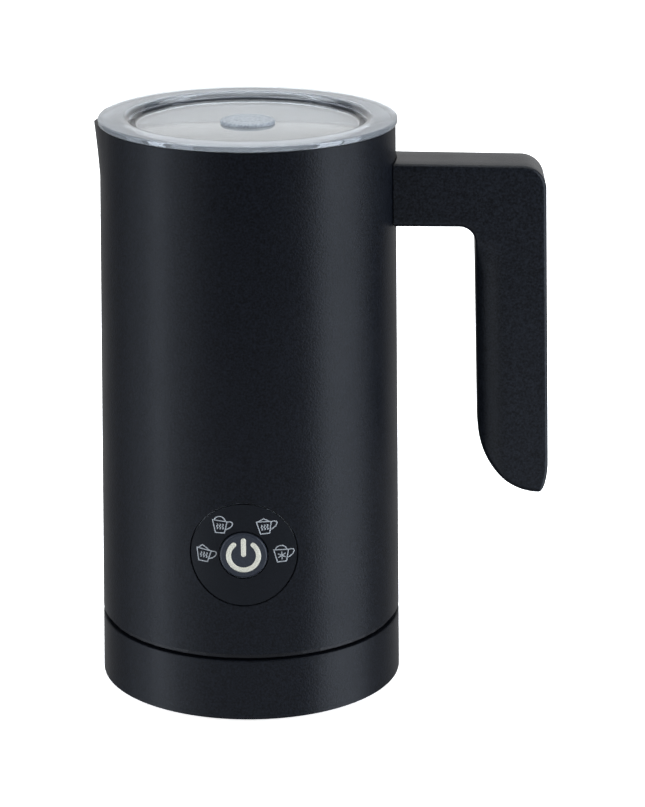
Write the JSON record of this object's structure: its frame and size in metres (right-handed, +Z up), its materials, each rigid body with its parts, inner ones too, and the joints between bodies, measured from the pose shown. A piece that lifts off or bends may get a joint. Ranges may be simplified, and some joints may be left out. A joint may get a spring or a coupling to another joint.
{
  "type": "milk frother",
  "caption": "Cordless milk frother: a tall round jug with a clear lid, an L-shaped handle and a push button, on a low powered base.",
  "frame": {"origin": "centre of the bounding box's bottom, on the table", "axes": "+Z up along the jug's axis, +X towards the handle, -Y towards the control panel"},
  "size_m": [0.153, 0.1032, 0.1956],
  "materials": {
    "black_coat": "soft-touch matte coat",
    "black_plastic": "fine moulded grain",
    "panel_plastic": "satin",
    "button_plastic": "satin",
    "steel": "brushed",
    "brass": "plain",
    "aluminium": "cast",
    "magnet": "nickel plated",
    "iron": "varnished laminations and winding",
    "rubber": "matte",
    "clear_plastic": "clear, polished",
    "frosted_plastic": "frosted",
    "board": "solder resist",
    "white_plastic": "heat resistant, matte"
  },
  "bodies": {
    "base": {"base_cover": "black_coat", "base_plate": "black_plastic", "foot_1": "rubber", "foot_2": "rubber", "foot_3": "rubber", "foot_4": "rubber", "base_screw_1": "steel", "base_screw_2": "steel", "base_screw_3": "steel", "base_connector": "black_plastic", "base_contact_centre": "brass", "base_contact_ring": "brass", "cord_gland": "rubber"},
    "coupler": {"contact_pin": "brass", "contact_ring": "brass", "earth_ring": "steel"},
    "jug": {"outer_shell": "black_coat", "bottom_cover": "black_plastic", "jug_connector": "black_plastic", "chassis": "white_plastic", "inner_pot": "steel", "rim_ring": "black_plastic", "whisk_pin": "steel", "heater_ring": "aluminium", "thermostat": "white_plastic", "thermal_fuse": "aluminium", "motor_can": "steel", "motor_end_cap": "white_plastic", "motor_bracket": "steel", "main_board": "board", "push_switch": "black_plastic", "control_panel": "panel_plastic", "light_guide": "frosted_plastic", "handle_body": "black_coat", "handle_strip": "black_plastic", "handle_gasket": "rubber", "handle_bracket": "steel", "bottom_screw_1": "steel", "bottom_screw_2": "steel", "bottom_screw_3": "steel", "handle_screw_1": "steel", "handle_screw_2": "steel"},
    "rotor": {"motor_shaft": "steel", "rotor_core": "iron", "magnet_carrier": "white_plastic", "drive_magnet_1": "magnet", "drive_magnet_2": "magnet"},
    "whisk_lift": {"whisk_bush": "steel"},
    "whisk": {"whisk_hub": "black_plastic", "whisk_coil": "steel", "whisk_magnet_1": "magnet", "whisk_magnet_2": "magnet"},
    "lid": {"lid_disc": "clear_plastic", "lid_seal": "rubber", "lid_centre_disc": "frosted_plastic"},
    "button": {"power_button": "button_plastic"}
  },
  "joints": [
    {"name": "jug_lift", "type": "slide", "parent": "base", "child": "coupler", "axis": [0, 0, 1], "range_m": [0, 0.05]},
    {"name": "jug_swivel", "type": "hinge", "parent": "coupler", "child": "jug", "pos_m": [-0.0249, 0, 0.022], "axis": [0, 0, 1], "continuous": true},
    {"name": "rotor_spin", "type": "hinge", "parent": "jug", "child": "rotor", "pos_m": [-0.0249, 0, 0.055], "axis": [0, 0, 1], "continuous": true},
    {"name": "whisk_lift", "type": "slide", "parent": "jug", "child": "whisk_lift", "axis": [0, 0, 1], "range_m": [0, 0.085]},
    {"name": "whisk_spin", "type": "hinge", "parent": "whisk_lift", "child": "whisk", "pos_m": [-0.0249, 0, 0.0873], "axis": [0, 0, 1], "continuous": true},
    {"name": "lid_lift", "type": "slide", "parent": "jug", "child": "lid", "axis": [0, 0, 1], "range_m": [0, 0.05]},
    {"name": "button_press", "type": "slide", "parent": "jug", "child": "button", "axis": [0, 1, 0], "range_m": [0, 0.0012], "stiffness_N_per_m": 1200, "springref_m": -0.0006}
  ],
  "couplings": [
    {"joint": "whisk_spin", "follows": "rotor_spin", "ratio": 1}
  ]
}
